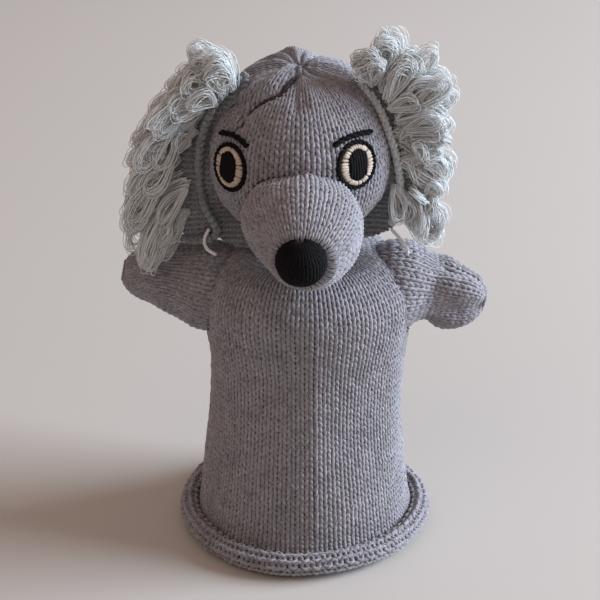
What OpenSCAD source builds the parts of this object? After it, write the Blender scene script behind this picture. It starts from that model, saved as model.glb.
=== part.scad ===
// Knitted dog glove puppet: a tube sleeve with a rolled hem, two mitt arms, and a stuffed head with a
// sewn-on muzzle, embroidered eyes and long ears fringed with yarn loops. Millimetres, +Z up, face to -Y.
// Origin: on the floor, at the centre of the sleeve.

/* [Sleeve] */
// Outer radius of the sleeve just above the hem
base_r = 46.6; // [44:0.2:48]
// Outer radius of the sleeve at the waist
waist_r = 41.2; // [39:0.2:43]
// Outer radius of the sleeve at the shoulders
chest_r = 45; // [44:0.2:46]
// Height of the shoulders' widest level
chest_z = 114; // [112:0.5:115]
// Thickness of the knitted fabric
wall = 2.5; // [1.5:0.1:3]
// Radius of the rolled hem's section
hem_tube_r = 5.2; // [4.5:0.1:6]

/* [Neck] */
// Height of the point that the head turns about
neck_z = 133; // [132.5:0.1:133.5]
// Radius of the sleeve's neck opening
neck_hole_r = 20; // [19.8:0.1:20.5]
// Height of the two neck bands
band_h = 4; // [3:0.5:4]

/* [Head] */
// Radius of the head
head_r = 38; // [36:0.2:38]
// Height of the head's centre
head_z = 177.5; // [177:0.5:182]
// Sideways lean of the head
head_x = -2; // [-3:0.5:0]
// Radius of the finger tube's bore
finger_r = 10; // [8:0.5:10]
// Depth of the finger tube's bore
finger_depth = 48; // [40:1:55]

/* [Muzzle] */
// Largest radius of the muzzle
muzzle_r = 24.3; // [20:0.1:25]
// Half the length of the muzzle's egg shape
muzzle_half = 28; // [24:0.5:30]
// Droop of the muzzle below level, in degrees
muzzle_droop = 14; // [8:1:16]
// Radius of the nose
nose_r = 10.2; // [8:0.1:12]

/* [Arms] */
// Distance of each shoulder from the middle
shoulder_x = 41; // [40:0.5:42]
// Height of the shoulders' centres
shoulder_z = 115.5; // [114:0.5:116]
// Radius of the ball that closes each armhole
shoulder_r = 19.4; // [18:0.1:19.4]
// Length of an arm from the shoulder's centre
arm_l = 37; // [34:0.5:40]
// Rise of the left arm, in degrees
left_rise = 11; // [0:1:12]
// Rise of the right arm, in degrees
right_rise = -12; // [-14:1:0]

/* [Ears] */
// Width of the left ear's knitted flap
left_ear_w = 31; // [26:1:32]
// Width of the right ear's knitted flap
right_ear_w = 26; // [24:1:30]
// Length of the left ear's yarn loops
left_loop_l = 19; // [12:0.5:20]
// Length of the right ear's yarn loops
right_loop_l = 14; // [12:0.5:18]
// Thickness of an ear's knitted flap
flap_t = 3.6; // [3:0.1:3.8]

/* [Eyes] */
// Half width and half height of the black outline
outline_size = [10.4, 10.3]; // [9.2:0.1:10.8]
// Half width and half height of the white ring
white_size = [8.9, 8.6]; // [7.5:0.1:9]
// Half width and half height of the pupil
pupil_size = [4.6, 6.4]; // [3:0.1:7]
// Direction of the left eye from the head's centre, in degrees round and above
left_eye = [-49, 4]; // [-55:0.5:10]
// Direction of the right eye from the head's centre, in degrees round and above
right_eye = [38.5, 8.5]; // [0:0.5:50]

/* [Hidden] */
LOOPS = 8;
SIDES = ["left", "right"];
$fn = 64;
FINE = 200;                                    // for thin slivers between round shapes

GREY = "#8d8b94";
DARK_GREY = "#6f6d76";
EAR_BLUE = "#b9c2c6";
BLACK = "#141418";
CREAM = "#d9cbbb";
WHITE = "#e8e6e0";

lift = 0.3;                                    // running gap between parts that move on each other
thread = 0.8;                                  // thickness of the embroidery
hem_r = base_r + hem_tube_r - 0.6;             // centre line of the rolled hem
hem_z = hem_tube_r - 0.2;
head_c = [head_x, 0, head_z];
skin = 2;                                      // thickness of the head's and muzzle's fabric
tube_r = finger_r + 2;
tube_z = neck_z - 3.5;                         // mouth of the finger tube
inner_band_r = 16.5;
seam_band = [2.9, 5.8];                        // an arm's sewn edge, inwards from the shoulder's centre
muzzle_back = 26;                              // start of the muzzle's axis, in front of the head's centre
muzzle_down = 14;                              // and how far below it
muzzle_c = [head_x, -muzzle_back, head_z - muzzle_down];
muzzle_mid = 15;                               // its widest place, along the axis
nose_at = 39;                                  // the nose's centre, along the axis
hinge_y = -8;
hinge_slope = 28;                              // how far round the head each ear is sewn, in degrees
hinge_pin_r = 2;
hinge_l = 26;
flap_h = 41;                                   // half height of a flap's oval edge
flap_mid = [27, -5.5];                         // the oval's centre, from the head's centre
loop_r = 4.6;                                  // widest radius of a teardrop of loops

function side(s) = s == "left" ? -1 : 1;
function rise(s) = s == "left" ? left_rise : right_rise;
function ear_w(s) = s == "left" ? left_ear_w : right_ear_w;
function loop_l(s) = s == "left" ? left_loop_l : right_loop_l;
function eye(s) = s == "left" ? left_eye : right_eye;
function oval(size, from = 0, to = 360, steps = 36) =
    [for (i = [0:steps - (to - from == 360 ? 1 : 0)])
        let (a = from + (to - from) * i / steps) [size[0] * cos(a), size[1] * sin(a)]];
function shift(points, by) = [for (p = points) p + by];

// A smooth curve through the points, with n steps between each pair.
function spline(p, n = 5) = concat(
    [for (i = [0:len(p) - 2], k = [0:n - 1])
        let (a = p[max(i - 1, 0)], b = p[i], c = p[i + 1], d = p[min(i + 2, len(p) - 1)], t = k / n)
        0.5 * (2 * b + (c - a) * t + (2 * a - 5 * b + 4 * c - d) * t * t
               + (3 * b - a - 3 * c + d) * t * t * t)],
    [p[len(p) - 1]]);

// ---- sleeve ----

function sleeve_outline(inset) = spline([
    [base_r - 0.4 - inset, hem_z], [base_r - inset, 12], [base_r - 1.3 - inset, 24],
    [waist_r + 2.3 - inset, 41], [waist_r + 0.8 - inset, 56], [waist_r - inset, 74],
    [waist_r + 0.4 - inset, 88], [chest_r - 0.9 - inset, chest_z - 9], [chest_r - inset, chest_z],
    [chest_r - 1.4 - inset, chest_z + 5.5], [chest_r - 4.7 - inset, chest_z + 10.5 - inset / 2],
    [chest_r - 10 - inset, chest_z + 14.5 - inset], [28, chest_z + 17.5 - inset],
    [neck_hole_r + 0.5, neck_z + 0.5 - inset]]);

module sleeve_solid(inset) {
    rotate_extrude()
        polygon(concat([[0, 0.6], [base_r - 0.4 - inset, 0.6]],
                       sleeve_outline(inset), [[0, neck_z + 0.5 - inset]]));
}

module armhole(s) {
    translate([side(s) * shoulder_x, 0, shoulder_z]) sphere(r = shoulder_r + 1.8);
}

module sleeve() {
    color(GREY) difference() {
        sleeve_solid(0);
        difference() {
            sleeve_solid(wall);
            translate([0, 0, neck_z + 0.5 - wall]) cylinder(r = 60, h = 10);
        }
        translate([0, 0, -1]) cylinder(r = base_r - 0.4 - wall, h = 3);
        cylinder(r = neck_hole_r, h = neck_z + 5);
        for (s = SIDES) armhole(s);
    }
}

module rolled_hem() {
    color(GREY) difference() {
        rotate_extrude() translate([hem_r, hem_z]) circle(r = hem_tube_r);
        translate([0, 0, -5]) cylinder(r = 70, h = 5);
        sleeve_solid(0);
    }
}

// ---- neck: two bands, one turning in the sleeve and one tilting in the first ----

module band(inner, outer) {
    rotate_extrude() translate([inner, neck_z - band_h / 2]) square([outer - inner, band_h]);
}

module neck_drawstring() {
    color(DARK_GREY) band(inner_band_r + 0.6, neck_hole_r - lift);
}

module head_neck_seam() {
    color(DARK_GREY) band(inner_band_r - 2, inner_band_r);
}

// ---- head ----

module head_ball(r) {
    translate(head_c) sphere(r = r);
}

module finger_space(r) {
    translate([0, 0, tube_z]) cylinder(r = r, h = finger_depth + 2);
}

module head_skin() {
    color(GREY) difference() {
        head_ball(head_r);
        head_ball(head_r - skin);
        translate([0, 0, tube_z]) cylinder(r = tube_r, h = 30);
    }
}

module head_stuffing() {
    color(WHITE) difference() {
        head_ball(head_r - skin);
        finger_space(tube_r);
    }
}

module finger_tube() {
    color(DARK_GREY) difference() {
        finger_space(tube_r);
        translate([0, 0, tube_z - 1]) cylinder(r = finger_r, h = finger_depth + 1);
    }
}

module crown_gather() {
    color(DARK_GREY) difference() {
        translate(head_c + [0, 0, head_r]) rotate_extrude($fn = FINE)
            translate([3, 0]) circle(r = 1.3, $fn = FINE);
        head_ball(head_r, $fn = FINE);
    }
}

// ---- muzzle ----

module along_muzzle(at = 0) {
    translate(muzzle_c) rotate([90 + muzzle_droop, 0, 0]) translate([0, 0, at]) children();
}

module muzzle_egg(inset) {
    along_muzzle() rotate_extrude()
        polygon(shift(oval([muzzle_r - inset, muzzle_half - inset], -90, 90), [0, muzzle_mid]));
}

module nose_ball(r) {
    along_muzzle(nose_at) sphere(r = r);
}

module muzzle_skin() {
    color(GREY) difference() {
        muzzle_egg(0);
        muzzle_egg(skin);
        head_ball(head_r);
        nose_ball(nose_r);
    }
}

module muzzle_stuffing() {
    color(WHITE) difference() {
        muzzle_egg(skin);
        head_ball(head_r);
        nose_ball(nose_r);
    }
}

module muzzle_seam() {
    seam_below = -24.4; // direction of the seam's centre below level, from the head's centre
    seam_r = 21.8;
    color(DARK_GREY) difference() {
        translate(head_c) rotate([90 - seam_below, 0, 0]) rotate_extrude($fn = FINE)
            translate([seam_r, sqrt(head_r * head_r - seam_r * seam_r)]) circle(r = 1.3, $fn = FINE);
        head_ball(head_r, $fn = FINE);
        muzzle_egg(0, $fn = FINE);
        for (s = SIDES) eye_column(s, outline_size + [0.2, 0.2]);
    }
}

module nose() {
    color(BLACK) nose_ball(nose_r);
}

// ---- embroidery: thin patches on the head's surface ----

module on_face(direction) {
    translate(head_c) rotate([0, 0, direction[0]]) rotate([-direction[1], 0, 0]) children();
}

module patch(direction, points, height) {
    intersection() {
        difference() {
            head_ball(head_r + height);
            head_ball(head_r);
        }
        on_face(direction) rotate([90, 0, 0]) linear_extrude(height = 50) polygon(points);
    }
}

// Everything in front of an eye's oval.
module eye_column(s, size) {
    on_face(eye(s)) rotate([90, 0, 0]) linear_extrude(height = 50) polygon(oval(size));
}

module eye_outline(s) {
    color(BLACK) difference() {
        patch(eye(s), oval(outline_size), thread);
        eye_column(s, white_size);
        muzzle_egg(0);
    }
}

module eye_white(s) {
    color(CREAM) difference() {
        patch(eye(s), oval(white_size), thread + 0.1);
        eye_column(s, pupil_size);
    }
}

module eye_pupil(s) {
    color(BLACK) patch(eye(s), oval(pupil_size), thread + 0.2);
}

// A curved bar that falls towards the nose.
module eyebrow(s) {
    brow_r = 24;
    brow_t = 1.2;
    arc = [74, 116];
    points = concat(oval([brow_r + brow_t, brow_r + brow_t], arc[0], arc[1], 8),
                    [for (p = oval([brow_r - brow_t, brow_r - brow_t], -arc[1], -arc[0], 8)) [p[0], -p[1]]]);
    fall = side(s) * 16;
    turned = [for (p = shift(points, [0, 12.6 - brow_r]))
        [p[0] * cos(fall) - p[1] * sin(fall), p[0] * sin(fall) + p[1] * cos(fall)]];
    color(BLACK) patch(eye(s), turned, thread);
}

// ---- arms ----

module at_shoulder(s) {
    translate([side(s) * shoulder_x, 0, shoulder_z]) children();
}

// Along +X for the right arm and -X for the left one, tipped up by its rise.
module along_arm(s) {
    at_shoulder(s) mirror([s == "left" ? 1 : 0, 0, 0]) rotate([0, -rise(s), 0]) children();
}

function arm_outline(inset) = spline([
    [shoulder_r * sin(48) - inset, -shoulder_r * cos(48)],
    [shoulder_r * sin(70) - inset, -shoulder_r * cos(70)],
    [shoulder_r - inset, 0], [shoulder_r - 1.1 - inset, 5], [15.2 - inset, 13], [13.2 - inset, arm_l * 0.62],
    [10.9 - inset, arm_l * 0.82], [6.5 - inset / 2, arm_l * 0.95 - inset * 0.8], [0, arm_l - inset]], 4);

// Seen from above, an arm starts as wide as its shoulder ball and ends as a flatter mitt.
function arm_plan(inset) =
    let (half = spline([[-20, shoulder_r], [0, shoulder_r - inset], [6, 17.6 - inset], [13, 14.2 - inset],
                        [arm_l * 0.62, 12.2 - inset], [arm_l * 0.85, 9.6 - inset],
                        [arm_l * 0.97, 5 - inset / 2],
                        [arm_l, 0]], 4))
    concat(half, [for (i = [len(half) - 2:-1:0]) [half[i][0], -half[i][1]]]);

module arm_solid(inset) {
    intersection() {
        rotate([0, 90, 0]) rotate_extrude()
            polygon(concat([[0, -shoulder_r * cos(48)]], arm_outline(inset)));
        translate([0, 0, -30]) linear_extrude(height = 60) polygon(arm_plan(inset));
    }
}

module arm(s) {
    color(GREY) along_arm(s) difference() {
        arm_solid(0);
        arm_solid(2.2);
    }
}

// The turned-in edge that the arm is sewn by: a band just inside the armhole.
module arm_seam(s) {
    color(DARK_GREY) at_shoulder(s) difference() {
        sphere(r = shoulder_r + 1.5);
        sphere(r = shoulder_r + 0.4);
        mirror([s == "left" ? 1 : 0, 0, 0]) {
            translate([-seam_band[0], -30, -30]) cube(60);
            translate([-seam_band[1] - 60, -30, -30]) cube(60);
        }
    }
}

module arm_tip_gather(s) {
    color(DARK_GREY) difference() {
        along_arm(s) translate([arm_l - 1, 0, 0]) rotate([0, 90, 0]) rotate_extrude()
            translate([2, 0]) circle(r = 1.2);
        along_arm(s) arm_solid(0);
    }
}

// ---- ears: each flap is sewn along a slanting line on the side of the head ----

// Mirrored about the head's centre plane, so that +X points away from the head on both sides.
module on_ear(s) {
    translate(head_c + [0, hinge_y, 0]) mirror([s == "left" ? 1 : 0, 0, 0]) children();
}

hinge_reach = sqrt(head_r * head_r - hinge_y * hinge_y) + hinge_pin_r + 0.4;
hinge_mid = hinge_reach * [cos(hinge_slope), sin(hinge_slope)];
hinge_top = hinge_mid + hinge_l / 2 * [-sin(hinge_slope), cos(hinge_slope)];

function flap_points(s) = concat(
    shift(oval([ear_w(s), flap_h], -42, 90), flap_mid),
    [hinge_top],
    [for (a = [12:-8:-44]) (head_r + 3) * [cos(a), sin(a)]],
    [[34, -34.5]]);

module flap_slab(s) {
    on_ear(s) rotate([90, 0, 0]) translate([0, 0, -flap_t / 2]) linear_extrude(height = flap_t)
        polygon(flap_points(s));
}

module ear_flap(s) {
    color(EAR_BLUE) union() {
        flap_slab(s);
        on_ear(s) translate([hinge_mid[0], 0, hinge_mid[1]]) rotate([0, -hinge_slope, 0])
            cylinder(r = hinge_pin_r, h = hinge_l, center = true);
    }
}

// A thick crocheted edge down the front of the flap's inner side.
module ear_edging(s) {
    edging_w = 3.2;
    path = spline([hinge_mid + [3.5, 8], [head_r + 4.5, 6], [head_r + 2.5, -10], [34.5, -22], [34, -31]], 4);
    back = [for (i = [len(path) - 1:-1:0]) path[i] + [edging_w, 0]];
    color(EAR_BLUE) on_ear(s) rotate([90, 0, 0]) translate([0, 0, flap_t / 2]) linear_extrude(height = 3)
        polygon(concat(path, back));
}

module ear_yarn_tail(s) {
    tail_r = 0.8;
    tail_l = 9;
    color(WHITE) on_ear(s) translate([39.5, -flap_t / 2 - tail_r, -31]) rotate([0, side(s) * 40 + 90, 0])
        cylinder(r = tail_r, h = tail_l, center = s == "left");
}

// Bundle i of the fringe, a teardrop that stands out from the flap's outer edge.
module ear_loops(s, i) {
    around = 88 - 110 * (i - 1) / (LOOPS - 1);
    aim = 88 - 98 * (i - 1) / (LOOPS - 1);
    l = loop_l(s);
    root = flap_mid + [ear_w(s) * cos(around), flap_h * sin(around)];
    color(EAR_BLUE) difference() {
        on_ear(s) translate([root[0], 0, root[1]]) rotate([0, 90 - aim, 0]) rotate_extrude()
            polygon(concat([[0, -1.5]], spline([[1.5, -1.5], [2.2, 1], [loop_r * 0.85, l * 0.4],
                                                [loop_r, l * 0.66], [loop_r * 0.7, l * 0.9], [0, l]], 4)));
        flap_slab(s);
    }
}

sleeve();
rolled_hem();
neck_drawstring();
head_neck_seam();
head_skin();
head_stuffing();
finger_tube();
crown_gather();
muzzle_skin();
muzzle_stuffing();
muzzle_seam();
nose();
for (s = SIDES) {
    eye_outline(s);
    eye_white(s);
    eye_pupil(s);
    eyebrow(s);
    arm_seam(s);
    arm(s);
    arm_tip_gather(s);
    ear_flap(s);
    ear_edging(s);
    ear_yarn_tail(s);
    for (i = [1:LOOPS])
        ear_loops(s, i);
}
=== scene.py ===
"""Knitted dog hand puppet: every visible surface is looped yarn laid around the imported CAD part.

Lengths are in millimetres in the modelling code and become metres when a mesh is made.
The puppet looks towards -Y, and +X is on the viewer's right.
"""
import math

import bpy
import numpy as np
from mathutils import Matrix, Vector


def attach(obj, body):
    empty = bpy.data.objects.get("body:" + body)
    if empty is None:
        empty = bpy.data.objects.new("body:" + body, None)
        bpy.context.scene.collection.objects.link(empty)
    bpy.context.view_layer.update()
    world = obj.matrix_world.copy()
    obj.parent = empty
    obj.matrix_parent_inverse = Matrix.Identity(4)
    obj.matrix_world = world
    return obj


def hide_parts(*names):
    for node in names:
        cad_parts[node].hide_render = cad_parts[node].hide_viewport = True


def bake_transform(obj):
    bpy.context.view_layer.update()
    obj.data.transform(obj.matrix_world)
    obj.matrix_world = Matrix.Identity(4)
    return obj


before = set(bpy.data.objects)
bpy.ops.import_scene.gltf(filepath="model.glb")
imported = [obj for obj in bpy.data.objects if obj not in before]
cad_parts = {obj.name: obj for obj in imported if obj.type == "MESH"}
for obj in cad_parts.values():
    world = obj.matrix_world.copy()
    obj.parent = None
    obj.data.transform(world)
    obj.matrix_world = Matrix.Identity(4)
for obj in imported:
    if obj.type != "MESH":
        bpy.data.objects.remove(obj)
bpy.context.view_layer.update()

MM = 0.001
TAU = 2 * math.pi
WALE = 3.85  # width of a stitch on the sleeve
COURSE = 2.66  # height of a stitch on the sleeve
SKIN = 1.3  # how far the middle of the fabric lies inside the CAD surface
SIDES = {"left": -1, "right": 1}

HEAD = np.array([-2.0, 0.0, 177.5])
HEAD_R = 38.0
MUZZLE = np.array([-2.0, -26.0, 163.5])
MUZZLE_R, MUZZLE_HALF, MUZZLE_MID = 24.3, 28.0, 15.0
MUZZLE_DROOP = math.radians(14)
NOSE_AT, NOSE_R = 39.0, 10.2
SHOULDER_X, SHOULDER_Z, SHOULDER_R = 41.0, 115.5, 19.4
ARM_RISE = {"left": math.radians(11), "right": math.radians(-12)}
EYES = {"left": (-48.6, 4.0), "right": (37.0, 8.5)}
EAR_Y = -8.0
EAR_W = {"left": 31.0, "right": 26.0}
EAR_MID = np.array([27.0, -5.5])
EAR_HALF_H = 41.0


# ---- small maths ----


def unit(v):
    return v / np.maximum(np.linalg.norm(v, axis=-1, keepdims=True), 1e-9)


def ease(x, low, high):
    """0 below low, 1 above high, smooth in between."""
    t = np.clip((np.asarray(x, float) - low) / (high - low), 0, 1)
    return t * t * (3 - 2 * t)


def curve(points, count, closed=False):
    """A smooth line through points (Catmull-Rom), as count points evenly spaced along it."""
    p = np.asarray(points, float)
    if closed:
        p = np.concatenate([p[-1:], p, p[:2]])
    else:
        p = np.concatenate([2 * p[:1] - p[1:2], p, 2 * p[-1:] - p[-2:-1]])
    t = np.linspace(0, 1, 24, endpoint=False)[:, None]
    parts = []
    for a, b, c, d in zip(p[:-3], p[1:-2], p[2:-1], p[3:]):
        parts.append(0.5 * (2 * b + (c - a) * t + (2 * a - 5 * b + 4 * c - d) * t**2
                            + (3 * b - a - 3 * c + d) * t**3))
    fine = np.concatenate(parts + [p[-2:-1]])
    s = np.concatenate([[0], np.cumsum(np.linalg.norm(np.diff(fine, axis=0), axis=1))])
    at = np.linspace(0, s[-1], count, endpoint=not closed)
    return np.stack([np.interp(at, s, fine[:, k]) for k in range(fine.shape[1])], axis=-1)


def aim(lon, lat):
    """Unit vector for a direction: lon from -Y towards +X and lat upwards, in degrees."""
    a, b = np.radians(lon), np.radians(lat)
    return np.stack([np.sin(a) * np.cos(b), -np.cos(a) * np.cos(b), np.sin(b) * np.ones_like(a)], axis=-1)


def line_gap(p, line):
    """Distance from each point p to a polyline."""
    best = np.full(p.shape[:-1], 1e9)
    for a, b in zip(line[:-1], line[1:]):
        ab = b - a
        t = np.clip(((p - a) @ ab) / (ab @ ab), 0, 1)
        best = np.minimum(best, np.linalg.norm(p - (a + t[..., None] * ab), axis=-1))
    return best


# ---- meshes ----


def make(name, verts, quads, fibre, material):
    mesh = bpy.data.meshes.new(name)
    mesh.vertices.add(len(verts))
    mesh.vertices.foreach_set("co", (verts * MM).astype(np.float32).ravel())
    mesh.loops.add(quads.size)
    mesh.loops.foreach_set("vertex_index", quads.astype(np.int32).ravel())
    mesh.polygons.add(len(quads))
    mesh.polygons.foreach_set("loop_start", np.arange(len(quads), dtype=np.int32) * quads.shape[1])
    mesh.polygons.foreach_set("use_smooth", np.ones(len(quads), dtype=bool))
    mesh.update(calc_edges=True)
    layer = mesh.attributes.new("fibre", "FLOAT_VECTOR", "POINT")
    layer.data.foreach_set("vector", fibre.astype(np.float32).ravel())
    if material:
        mesh.materials.append(material)
    obj = bpy.data.objects.new(name, mesh)
    bpy.context.scene.collection.objects.link(obj)
    return obj


def sweep(points, normals, radius, sides=5, closed=True, twist=1.1, seed=0):
    """Tubes along points (lines, points on each, 3). Returns vertices, quads and the fibre coordinates."""
    points = np.asarray(points, float)
    if points.ndim == 2:
        points, normals = points[None], normals[None]
    lines, n = points.shape[:2]
    radius = np.broadcast_to(np.asarray(radius, float), (lines, n))
    if closed:
        t = np.roll(points, -1, 1) - np.roll(points, 1, 1)
    else:
        t = np.gradient(points, axis=1)
        end = np.ones(n)
        end[[0, -1]] = 0.15
        end[[1, -2]] = 0.8
        radius = radius * end
    t = unit(t)
    b = unit(np.cross(t, normals))
    m = np.cross(b, t)
    a = TAU * np.arange(sides) / sides
    ring = np.cos(a)[:, None] * m[:, :, None] + np.sin(a)[:, None] * b[:, :, None]
    verts = points[:, :, None] + radius[:, :, None, None] * ring
    step = np.linalg.norm(np.diff(points, axis=1, prepend=points[:, :1]), axis=-1)
    along = np.cumsum(step, axis=1) + 37.0 * np.random.default_rng(seed).random((lines, 1))
    turn = a + along[:, :, None] * twist
    lengthways = np.broadcast_to(along[:, :, None], turn.shape) / 4
    fibre = np.stack([lengthways, np.cos(turn), np.sin(turn)], axis=-1)
    i = np.arange(n if closed else n - 1)
    k = np.arange(sides)
    i, k = np.meshgrid(i, k, indexing="ij")
    j, l = (i + 1) % n, (k + 1) % sides
    one = np.stack([i * sides + k, i * sides + l, j * sides + l, j * sides + k], axis=-1).reshape(-1, 4)
    quads = (one[None] + (np.arange(lines) * n * sides)[:, None, None]).reshape(-1, 4)
    return verts.reshape(-1, 3), quads, fibre.reshape(-1, 3)


def joined(parts):
    """Several (vertices, quads, fibre) as one."""
    verts, quads, fibres, at = [], [], [], 0
    for v, q, f in parts:
        verts.append(v)
        quads.append(q + at)
        fibres.append(f)
        at += len(v)
    return np.concatenate(verts), np.concatenate(quads), np.concatenate(fibres)


def cut(part, keep):
    """The part without the faces that have a vertex where keep is False."""
    verts, quads, fibre = part
    quads = quads[keep(verts)[quads].all(axis=1)]
    used = np.unique(quads)
    index = np.full(len(verts), -1)
    index[used] = np.arange(len(used))
    return verts[used], index[quads], fibre[used]


def knit(surface, wales, courses, yarn=0.83, depth=0.82, first=0, segments=12, sides=5, seed=1,
         around=True, wale=WALE,
         spread=0.2, lift=1.0, thin=0.42):
    """Stocking stitch laid on surface(u, v), where u counts wales and v counts courses upwards.

    The front side lies along du x dv. Around is True where the rows close into rings."""
    rng = np.random.default_rng(seed)
    n = wales * segments + (0 if around else 1)
    t = np.arange(n) / segments
    a = TAU * t
    rows = first + np.arange(courses)[:, None]
    stitch = np.arange(wales + 1)

    def uneven(size):
        values = size * rng.standard_normal((courses, wales + 1))
        if around:
            values[:, -1] = values[:, 0]
        return np.stack([np.interp(t, stitch, row) for row in values])

    u = t[None] + spread * np.sin(2 * a)[None] * (1 + uneven(0.15)) + uneven(0.018)
    v = rows + lift * np.cos(a)[None] * (1 + uneven(0.03)) + uneven(0.035)
    e = 0.02
    p = surface(u, v)
    pu = surface(u + e, v) - surface(u - e, v)
    pv = surface(u, v + e) - surface(u, v - e)
    normal = unit(np.cross(pu, pv))
    scale = np.clip(np.linalg.norm(pu, axis=-1) / (2 * e) / wale, thin, 1.08)
    p = p - normal * (depth * scale * np.cos(2 * a)[None] * (1 + uneven(0.2)))[..., None]
    plump = yarn * scale * (1 + uneven(0.07)) * (1 + 0.06 * np.cos(2 * a - math.pi))
    return sweep(p, normal, plump, sides, around, seed=seed)


def rope(line, normal, strand, lay, pitch, plies=2, closed=False, sides=6, seed=0, wobble=0.0):
    """Plies wound around a line. normal holds one vector per point of it."""
    line, normal = np.asarray(line, float), np.asarray(normal, float)
    t = unit(np.roll(line, -1, 0) - np.roll(line, 1, 0)) if closed else unit(np.gradient(line, axis=0))
    b = unit(np.cross(t, normal))
    m = np.cross(b, t)
    s = np.concatenate([[0], np.cumsum(np.linalg.norm(np.diff(line, axis=0), axis=1))])
    total = s[-1] + (np.linalg.norm(line[0] - line[-1]) if closed else 0)
    turns = max(1, round(total / pitch)) if closed else total / pitch
    rng = np.random.default_rng(seed)
    parts = []
    for k in range(plies):
        a = TAU * (turns * s / total + k / plies)
        off = lay * (np.cos(a)[:, None] * m + np.sin(a)[:, None] * b)
        if wobble:
            off = off + wobble * rng.standard_normal((len(line), 3))
        parts.append(sweep(line + off, m, strand, sides, closed, seed=seed + k))
    return joined(parts)


def shell(surface, us, vs, thick, closed_u=True):
    """A cloth of that thickness on surface(u, v), as a closed mesh. The surface is its outer face."""
    u, v = np.meshgrid(us, vs, indexing="ij")
    e = 1e-3
    outer = surface(u, v)
    normal = unit(np.cross(surface(u + e, v) - surface(u - e, v), surface(u, v + e) - surface(u, v - e)))
    inner = outer - thick * normal
    nu, nv = u.shape
    layers = np.stack([outer, inner]).reshape(-1, 3)

    def at(layer, i, j):
        return layer * nu * nv + (i % nu) * nv + j

    i, j = np.meshgrid(np.arange(nu if closed_u else nu - 1), np.arange(nv - 1), indexing="ij")
    out = np.stack([at(0, i, j), at(0, i + 1, j), at(0, i + 1, j + 1), at(0, i, j + 1)], -1).reshape(-1, 4)
    back = np.stack([at(1, i, j), at(1, i, j + 1), at(1, i + 1, j + 1), at(1, i + 1, j)], -1).reshape(-1, 4)
    rims = []
    k = np.arange(nu if closed_u else nu - 1)
    for row, flip in ((0, False), (nv - 1, True)):
        rim = np.stack([at(0, k, row), at(1, k, row), at(1, k + 1, row), at(0, k + 1, row)], -1)
        rims.append(rim[:, ::-1] if flip else rim)
    if not closed_u:
        k = np.arange(nv - 1)
        for col, flip in ((0, True), (nu - 1, False)):
            rim = np.stack([at(0, col, k), at(1, col, k), at(1, col, k + 1), at(0, col, k + 1)], -1)
            rims.append(rim[:, ::-1] if flip else rim)
    quads = np.concatenate([out, back] + rims)
    coords = np.stack([u / 4, v / 4, 0 * u], -1)
    return layers, quads, np.concatenate([coords, coords]).reshape(-1, 3)


# ---- cloth: how stuffed fabric settles between its fixed edges ----

CLOTH_FRAMES = 16


def settled(surface, us, vs, grow, pressure, cap):
    """How far cloth laid on surface(u, v), held along its first and last rows, moves when it is stuffed.

    Us go round once. Returns a function of (u, v) that gives the shift in millimetres."""
    u, v = np.meshgrid(us, vs, indexing="ij")
    nu, nv = u.shape
    start = surface(u, v)
    i, j = np.meshgrid(np.arange(nu), np.arange(nv - 1), indexing="ij")
    k = (i + 1) % nu
    quads = np.stack([i * nv + j, k * nv + j, k * nv + j + 1, i * nv + j + 1], axis=-1).reshape(-1, 4)
    cloth_obj = make("cloth_trial", start.reshape(-1, 3), quads, np.zeros((nu * nv, 3)), None)
    held = cloth_obj.vertex_groups.new(name="held")
    held.add([int(a * nv + b) for a in range(nu) for b in (0, nv - 1)], 1.0, "REPLACE")
    cloth = cloth_obj.modifiers.new("cloth", "CLOTH")
    cloth.settings.quality = 6
    cloth.settings.mass = 0.2
    cloth.settings.tension_stiffness = cloth.settings.compression_stiffness = 12
    cloth.settings.shear_stiffness = 4
    cloth.settings.bending_stiffness = 0.4
    cloth.settings.vertex_group_mass = "held"
    cloth.settings.shrink_min = -grow
    cloth.settings.use_pressure = True
    cloth.settings.uniform_pressure_force = pressure
    cloth.settings.effector_weights.gravity = 0
    cloth.point_cache.frame_start, cloth.point_cache.frame_end = 1, CLOTH_FRAMES
    for frame_now in range(1, CLOTH_FRAMES + 1):
        bpy.context.scene.frame_set(frame_now)
    shape = cloth_obj.evaluated_get(bpy.context.evaluated_depsgraph_get())
    co = np.empty(nu * nv * 3, dtype=np.float32)
    shape.data.vertices.foreach_get("co", co)
    bpy.context.scene.frame_set(1)
    bpy.data.objects.remove(cloth_obj)
    shift = co.reshape(nu, nv, 3) / MM - start
    size = np.linalg.norm(shift, axis=-1, keepdims=True)
    shift = shift * (cap * np.tanh(size / cap) / np.maximum(size, 1e-6))
    period = us[1] - us[0], vs[1] - vs[0]

    def moved(a, b):
        a, b = np.broadcast_arrays(np.asarray(a, float), np.asarray(b, float))
        x = (a - us[0]) / period[0]
        y = np.clip((b - vs[0]) / period[1], 0, nv - 1.0001)
        x0, y0 = np.floor(x).astype(int), np.floor(y).astype(int)
        fx, fy = (x - x0)[..., None], (y - y0)[..., None]
        fx, fy = fx * fx * (3 - 2 * fx), fy * fy * (3 - 2 * fy)
        x1 = (x0 + 1) % nu
        x0 = x0 % nu
        low = shift[x0, y0] * (1 - fx) + shift[x1, y0] * fx
        high = shift[x0, y0 + 1] * (1 - fx) + shift[x1, y0 + 1] * fx
        return low * (1 - fy) + high * fy

    return moved


# ---- materials ----


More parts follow.
